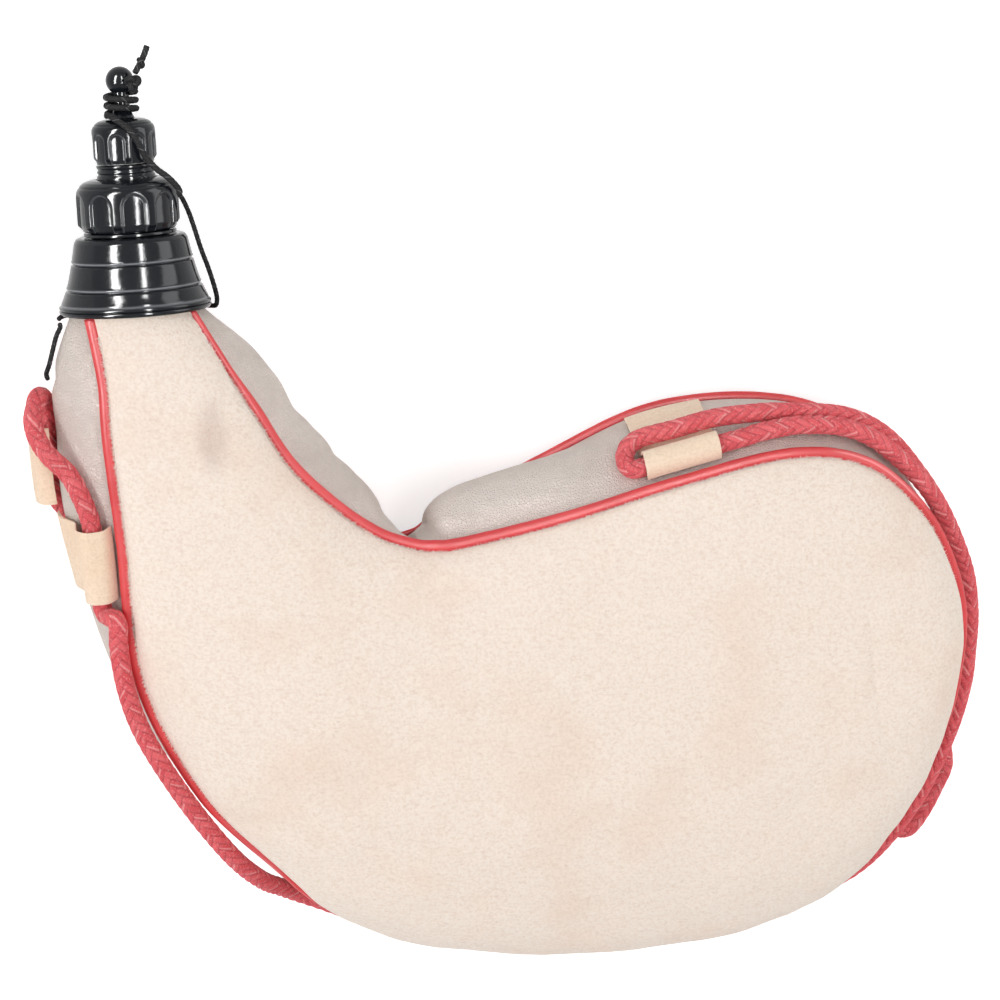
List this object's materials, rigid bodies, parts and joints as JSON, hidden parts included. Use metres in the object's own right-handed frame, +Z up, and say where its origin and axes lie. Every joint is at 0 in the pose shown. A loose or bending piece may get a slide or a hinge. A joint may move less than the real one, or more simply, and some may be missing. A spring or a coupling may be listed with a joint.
{
  "type": "leather bota bag",
  "caption": "Curved soft wine skin in suede with a piped gusset, a screw-on black spout and cap, a tether and a red carry cord through leather keepers.",
  "frame": {"origin": "middle of the bounding box without the cords, at the surface that the back panel lies on", "axes": "+Z up out of the suede front, +Y towards the neck and spout, +X towards the rounded tip"},
  "size_m": [0.2964, 0.3022, 0.061],
  "materials": {
    "suede": "brushed cream suede",
    "grain_leather": "pale fine-grained leather",
    "tan_leather": "smooth undyed leather",
    "red_vinyl": "glossy red piping",
    "red_cord": "red braided cord with pale flecks",
    "black_cord": "black twisted cord",
    "black_plastic": "glossy black moulded plastic",
    "latex": "dull latex",
    "seal_rubber": "dull black rubber",
    "twine": "waxed twine"
  },
  "bodies": {
    "bag": {"front_panel": "suede", "back_panel": "grain_leather", "gusset": "grain_leather", "front_piping": "red_vinyl", "back_piping": "red_vinyl", "bladder": "latex", "keeper_top": "tan_leather", "keeper_left": "tan_leather", "keeper_neck": "tan_leather", "neck_collar": "black_plastic", "neck_insert": "black_plastic", "neck_binding": "twine", "tether_lower": "black_cord", "tether_loose_end": "black_cord", "carry_cord": "red_cord", "carry_cord_knot": "red_cord"},
    "spout": {"spout": "black_plastic", "spout_gasket": "seal_rubber"},
    "nut": {"spout_nut": "black_plastic"},
    "cap_seal": {"cap_seal": "seal_rubber", "tether_upper": "black_cord", "tether_knot": "black_cord", "tether_tail": "black_cord"},
    "cap": {"cap": "black_plastic"}
  },
  "joints": [
    {"name": "spout_lift", "type": "slide", "parent": "bag", "child": "spout", "axis": [-0.0119, 0.9755, -0.2196], "range_m": [0, 0.00876]},
    {"name": "nut_turn", "type": "hinge", "parent": "spout", "child": "nut", "pos_m": [-0.11079, 0.07555, 0.02257], "axis": [-0.0119, 0.9755, -0.2196], "range_deg": [0, 900]},
    {"name": "cap_lift", "type": "slide", "parent": "spout", "child": "cap_seal", "axis": [-0.0119, 0.9755, -0.2196], "range_m": [0, 0.00901]},
    {"name": "cap_turn", "type": "hinge", "parent": "cap_seal", "child": "cap", "pos_m": [-0.11079, 0.07555, 0.02257], "axis": [-0.0119, 0.9755, -0.2196], "range_deg": [0, 1080]}
  ],
  "couplings": [
    {"joint": "spout_lift", "follows": "nut_turn", "m_per_rad": 0.00055704},
    {"joint": "cap_lift", "follows": "cap_turn", "m_per_rad": 0.00047746}
  ]
}
